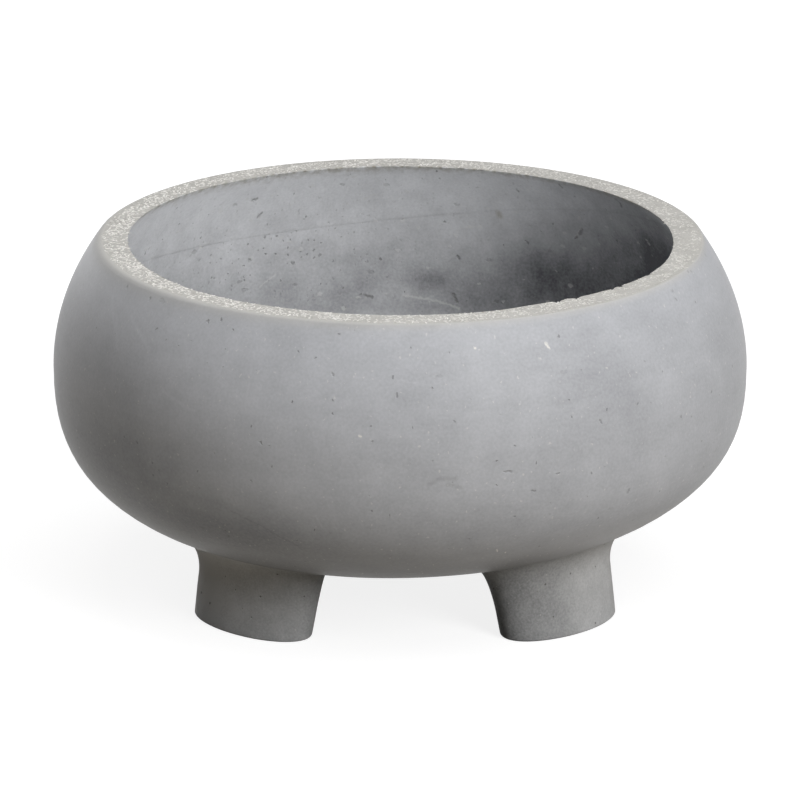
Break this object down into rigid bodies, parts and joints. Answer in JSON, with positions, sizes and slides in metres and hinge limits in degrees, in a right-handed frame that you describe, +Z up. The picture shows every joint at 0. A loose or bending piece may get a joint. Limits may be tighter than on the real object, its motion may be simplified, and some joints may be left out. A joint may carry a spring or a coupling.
{
  "type": "bowl planter",
  "caption": "Low round planter with a bellied concrete bowl, flat ground rim, short splayed oval legs and a removable drain plug.",
  "frame": {"origin": "on the ground, under the middle of the bowl", "axes": "+Z up along the bowl's axis; the legs stand at 45 degrees between +X and +Y, with the front towards -Y"},
  "size_m": [0.45, 0.45, 0.23],
  "materials": {
    "concrete": "smooth off the mould, matt to satin",
    "mortar": "struck smooth, matt",
    "dowel_steel": "bright drawn bar",
    "plug_rubber": "matt moulded"
  },
  "bodies": {
    "bowl": {"bowl_shell": "concrete", "leg_front_left": "concrete", "leg_front_right": "concrete", "leg_back_left": "concrete", "leg_back_right": "concrete", "mortar_front_left": "mortar", "mortar_front_right": "mortar", "mortar_back_left": "mortar", "mortar_back_right": "mortar", "dowel_front_left_1": "dowel_steel", "dowel_front_left_2": "dowel_steel", "dowel_front_right_1": "dowel_steel", "dowel_front_right_2": "dowel_steel", "dowel_back_left_1": "dowel_steel", "dowel_back_left_2": "dowel_steel", "dowel_back_right_1": "dowel_steel", "dowel_back_right_2": "dowel_steel"},
    "drain_plug": {"drain_plug": "plug_rubber"}
  },
  "joints": [
    {"name": "drain_plug_lift", "type": "slide", "parent": "bowl", "child": "drain_plug", "axis": [0, 0, 1], "range_m": [0, 0.22]}
  ]
}
